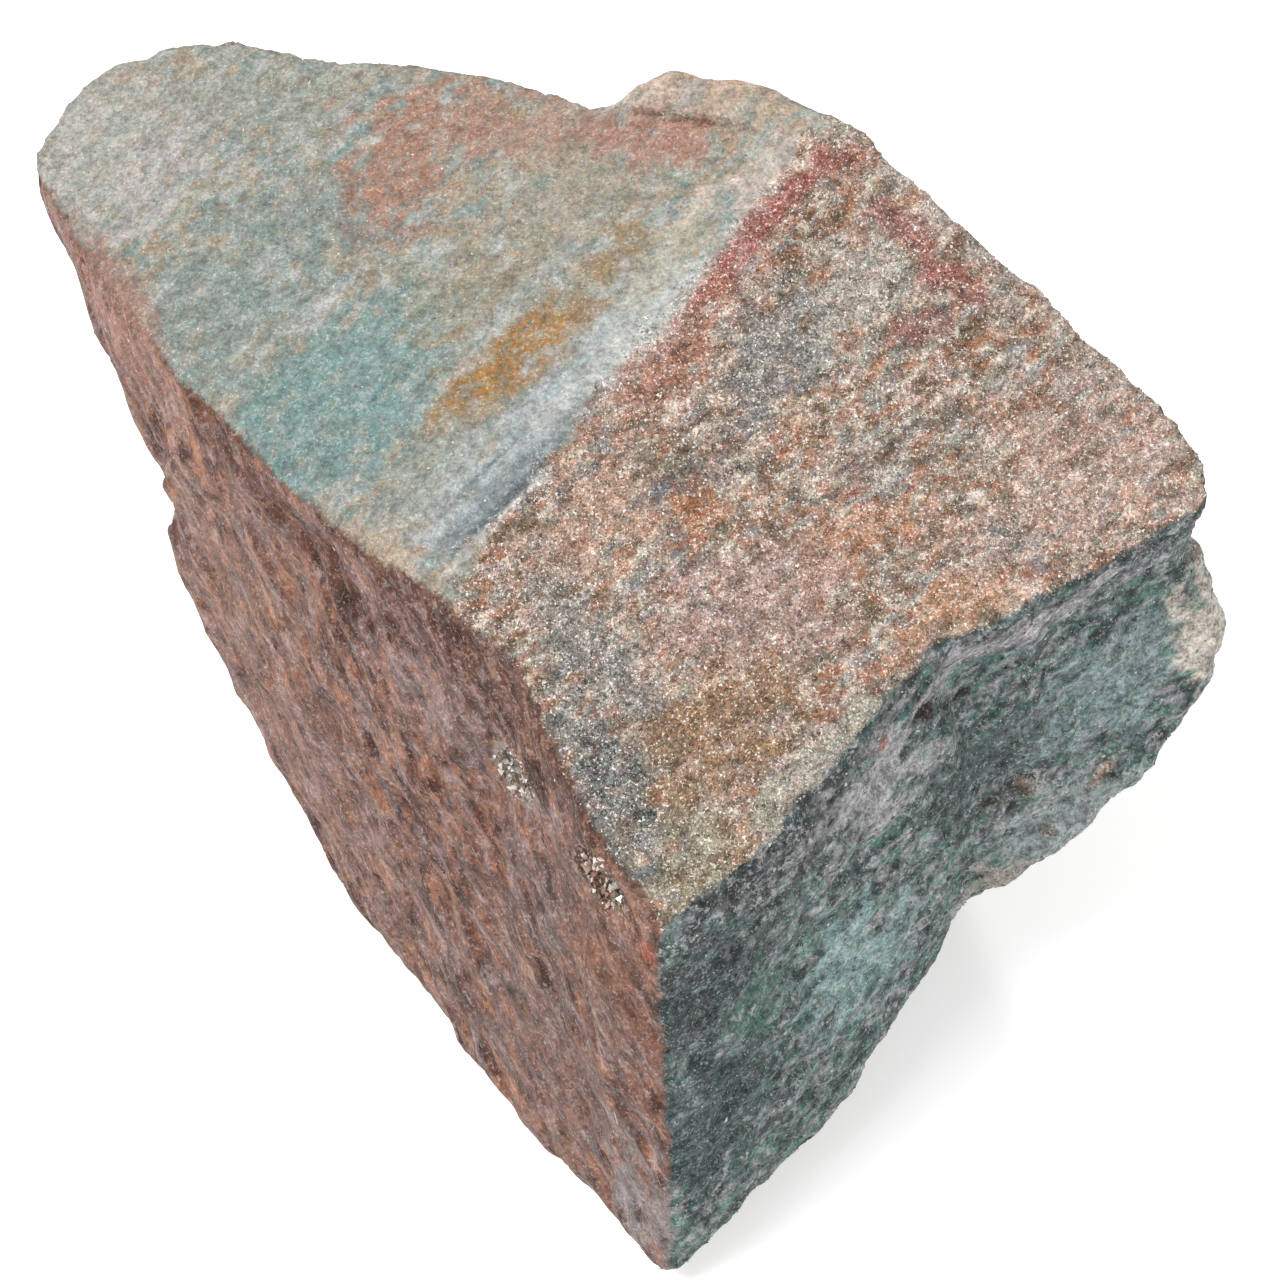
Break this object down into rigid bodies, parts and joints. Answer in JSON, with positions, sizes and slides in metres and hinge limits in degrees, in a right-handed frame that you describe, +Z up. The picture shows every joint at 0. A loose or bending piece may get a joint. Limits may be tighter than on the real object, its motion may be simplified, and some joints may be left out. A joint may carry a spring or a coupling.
{
  "type": "rough fuchsite stone",
  "caption": "Rough block of fuchsite quartzite with a wide cleaved top, a rose-brown broken side, a green micaceous side under an overhanging ledge, and a small flat spot to rest on.",
  "frame": {"origin": "middle of the bounding box's bottom, in the plane of the flat spot that the stone rests on", "axes": "+Z up, away from the surface it rests on; +X along the longest side, towards the green lobe; +Y towards the back, away from the near corner"},
  "size_m": [0.079, 0.072, 0.0504],
  "materials": {
    "stone": "rough broken quartzite with fine glittering mica, pink-brown, grey-green and dark green"
  },
  "bodies": {
    "root": {"fuchsite_stone": "stone"}
  },
  "joints": []
}
